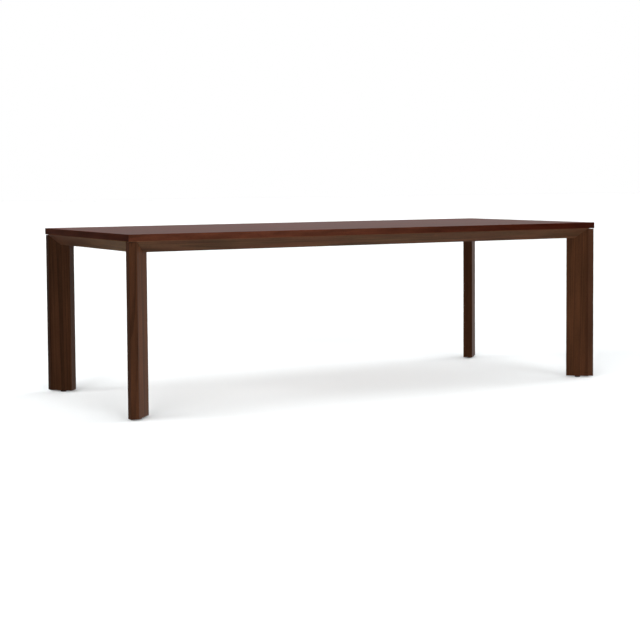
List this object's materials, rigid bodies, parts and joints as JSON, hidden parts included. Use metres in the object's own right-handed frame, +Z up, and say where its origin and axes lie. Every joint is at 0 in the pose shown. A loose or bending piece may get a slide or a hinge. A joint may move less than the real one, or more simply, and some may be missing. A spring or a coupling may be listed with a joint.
{
  "type": "dining table",
  "caption": "Rectangular dining table with a flat top, undercut aprons and diagonal blade legs flush with its corners, standing on screw-in levelling glides.",
  "frame": {"origin": "on the floor under the middle of the top", "axes": "+X along the table, +Y from its front long side to its back, +Z up"},
  "size_m": [2.438, 1.016, 0.762],
  "materials": {
    "stained_solid_wood": "dark red-brown stain under satin lacquer, straight grain",
    "stained_veneer": "dark red-brown stained veneer under satin lacquer",
    "backing_veneer": "sealed veneer, matt",
    "core_board": "raw fibreboard",
    "bare_hardwood": "planed, sealed",
    "zinc_plated_steel": "bright zinc",
    "moulded_base": "fine texture, black-brown",
    "nylon_pad": "smooth, black-brown"
  },
  "bodies": {
    "table": {"top_lipping_front": "stained_solid_wood", "apron_front": "stained_solid_wood", "top_lipping_right": "stained_solid_wood", "apron_right": "stained_solid_wood", "top_lipping_back": "stained_solid_wood", "apron_back": "stained_solid_wood", "top_lipping_left": "stained_solid_wood", "apron_left": "stained_solid_wood", "leg_front_left": "stained_solid_wood", "leg_front_right": "stained_solid_wood", "leg_back_right": "stained_solid_wood", "leg_back_left": "stained_solid_wood", "top_face_veneer": "stained_veneer", "top_backing_veneer": "backing_veneer", "top_core": "core_board", "cross_rail_left": "bare_hardwood", "cross_rail_middle": "bare_hardwood", "cross_rail_right": "bare_hardwood", "corner_block_front_left": "bare_hardwood", "corner_block_front_right": "bare_hardwood", "corner_block_back_right": "bare_hardwood", "corner_block_back_left": "bare_hardwood", "rail_dowels": "bare_hardwood", "top_screws": "zinc_plated_steel", "hanger_bolts": "zinc_plated_steel", "bolt_washers": "zinc_plated_steel", "bolt_nuts": "zinc_plated_steel", "glide_inserts": "zinc_plated_steel"},
    "front_left_glide_foot": {"glide_pad_front_left": "nylon_pad"},
    "front_left_glide_screw": {"glide_base_front_left": "moulded_base", "glide_stem_front_left": "zinc_plated_steel"},
    "front_right_glide_foot": {"glide_pad_front_right": "nylon_pad"},
    "front_right_glide_screw": {"glide_base_front_right": "moulded_base", "glide_stem_front_right": "zinc_plated_steel"},
    "back_right_glide_foot": {"glide_pad_back_right": "nylon_pad"},
    "back_right_glide_screw": {"glide_base_back_right": "moulded_base", "glide_stem_back_right": "zinc_plated_steel"},
    "back_left_glide_foot": {"glide_pad_back_left": "nylon_pad"},
    "back_left_glide_screw": {"glide_base_back_left": "moulded_base", "glide_stem_back_left": "zinc_plated_steel"}
  },
  "joints": [
    {"name": "front_left_glide_height", "type": "slide", "parent": "table", "child": "front_left_glide_foot", "axis": [0, 0, -1], "range_m": [0, 0.01]},
    {"name": "front_left_glide_turn", "type": "hinge", "parent": "front_left_glide_foot", "child": "front_left_glide_screw", "pos_m": [-1.16255, -0.45155, 0], "axis": [0, 0, -1], "range_deg": [0, 2881]},
    {"name": "front_right_glide_height", "type": "slide", "parent": "table", "child": "front_right_glide_foot", "axis": [0, 0, -1], "range_m": [0, 0.01]},
    {"name": "front_right_glide_turn", "type": "hinge", "parent": "front_right_glide_foot", "child": "front_right_glide_screw", "pos_m": [1.16255, -0.45155, 0], "axis": [0, 0, -1], "range_deg": [0, 2881]},
    {"name": "back_right_glide_height", "type": "slide", "parent": "table", "child": "back_right_glide_foot", "axis": [0, 0, -1], "range_m": [0, 0.01]},
    {"name": "back_right_glide_turn", "type": "hinge", "parent": "back_right_glide_foot", "child": "back_right_glide_screw", "pos_m": [1.16255, 0.45155, 0], "axis": [0, 0, -1], "range_deg": [0, 2881]},
    {"name": "back_left_glide_height", "type": "slide", "parent": "table", "child": "back_left_glide_foot", "axis": [0, 0, -1], "range_m": [0, 0.01]},
    {"name": "back_left_glide_turn", "type": "hinge", "parent": "back_left_glide_foot", "child": "back_left_glide_screw", "pos_m": [-1.16255, 0.45155, 0], "axis": [0, 0, -1], "range_deg": [0, 2881]}
  ],
  "couplings": [
    {"joint": "front_left_glide_turn", "follows": "front_left_glide_height", "rad_per_m": 5026.5},
    {"joint": "front_right_glide_turn", "follows": "front_right_glide_height", "rad_per_m": 5026.5},
    {"joint": "back_right_glide_turn", "follows": "back_right_glide_height", "rad_per_m": 5026.5},
    {"joint": "back_left_glide_turn", "follows": "back_left_glide_height", "rad_per_m": 5026.5}
  ]
}
